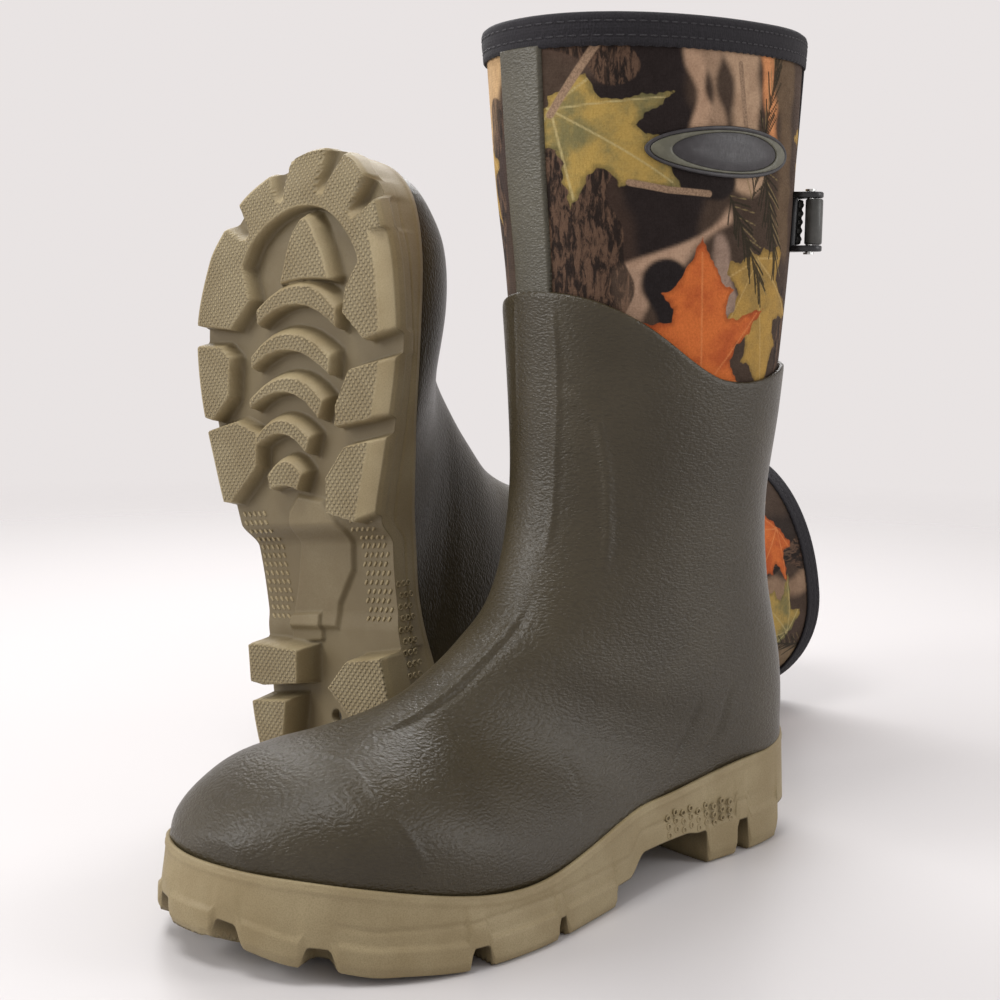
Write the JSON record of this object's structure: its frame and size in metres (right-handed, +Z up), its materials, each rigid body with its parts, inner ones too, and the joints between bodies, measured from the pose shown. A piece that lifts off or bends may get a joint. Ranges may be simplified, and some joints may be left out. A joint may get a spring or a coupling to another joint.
{
  "type": "insulated hunting boots",
  "caption": "Insulated rubber hunting boots: lugged outsole, moulded rubber shell, camouflage neoprene shaft with bound collar, calf gusset and strap buckle; a pair.",
  "frame": {"origin": "middle of the pair's box, on the ground", "axes": "+Z up; the standing left boot's toe points to -Y and its outer side to +X; the lying right boot's shaft runs back towards +Y"},
  "size_m": [0.2744, 0.4922, 0.347],
  "materials": {
    "sole_rubber": "matte moulded rubber",
    "shell_rubber": "satin pebbled rubber",
    "camo_neoprene": "printed knit face over neoprene",
    "foot_neoprene": "knit face over neoprene",
    "black_binding": "woven binding tape",
    "strip_rubber": "grained satin rubber",
    "gusset_neoprene": "stretch knit face over neoprene",
    "badge_rubber": "moulded satin rubber",
    "strap_rubber": "ribbed matte rubber",
    "black_plastic": "matte moulded plastic",
    "lever_plastic": "knurled matte plastic",
    "steel": "brushed",
    "foam": "foam with a knit face",
    "board": "stiffened fibre"
  },
  "bodies": {
    "boot_left": {"outsole_left": "sole_rubber", "midsole_left": "foam", "shank_left": "steel", "shell_left": "shell_rubber", "heel_counter_left": "board", "toe_puff_left": "board", "bootie_left": "foot_neoprene", "sleeve_left": "camo_neoprene", "footbed_left": "foam", "binding_left": "black_binding", "front_strip_left": "strip_rubber", "calf_gusset_left": "gusset_neoprene", "badge_left": "badge_rubber", "calf_strap_left": "strap_rubber", "strap_anchor_left": "black_plastic", "buckle_frame_left": "black_plastic", "buckle_pin_left": "steel", "buckle_rivet_1_left": "steel", "buckle_rivet_2_left": "steel"},
    "lever_left": {"buckle_lever_left": "lever_plastic"},
    "boot_right": {"outsole_right": "sole_rubber", "midsole_right": "foam", "shank_right": "steel", "shell_right": "shell_rubber", "heel_counter_right": "board", "toe_puff_right": "board", "bootie_right": "foot_neoprene", "sleeve_right": "camo_neoprene", "footbed_right": "foam", "binding_right": "black_binding", "front_strip_right": "strip_rubber", "calf_gusset_right": "gusset_neoprene", "badge_right": "badge_rubber", "calf_strap_right": "strap_rubber", "strap_anchor_right": "black_plastic", "buckle_frame_right": "black_plastic", "buckle_pin_right": "steel", "buckle_rivet_1_right": "steel", "buckle_rivet_2_right": "steel"},
    "lever_right": {"buckle_lever_right": "lever_plastic"}
  },
  "joints": [
    {"name": "right_boot_apart", "type": "slide", "parent": "boot_left", "child": "boot_right", "axis": [-0.342, 0, 0.9397], "range_m": [0, 0.3]},
    {"name": "buckle_left_open", "type": "hinge", "parent": "boot_left", "child": "lever_left", "pos_m": [0.11805, 0.0317, 0.271], "axis": [0, 0, -1], "range_deg": [0, 100]},
    {"name": "buckle_right_open", "type": "hinge", "parent": "boot_right", "child": "lever_right", "pos_m": [-0.11703, 0.16023, 0.01994], "axis": [-0.0941, 0.9956, 0], "range_deg": [0, 100]}
  ]
}
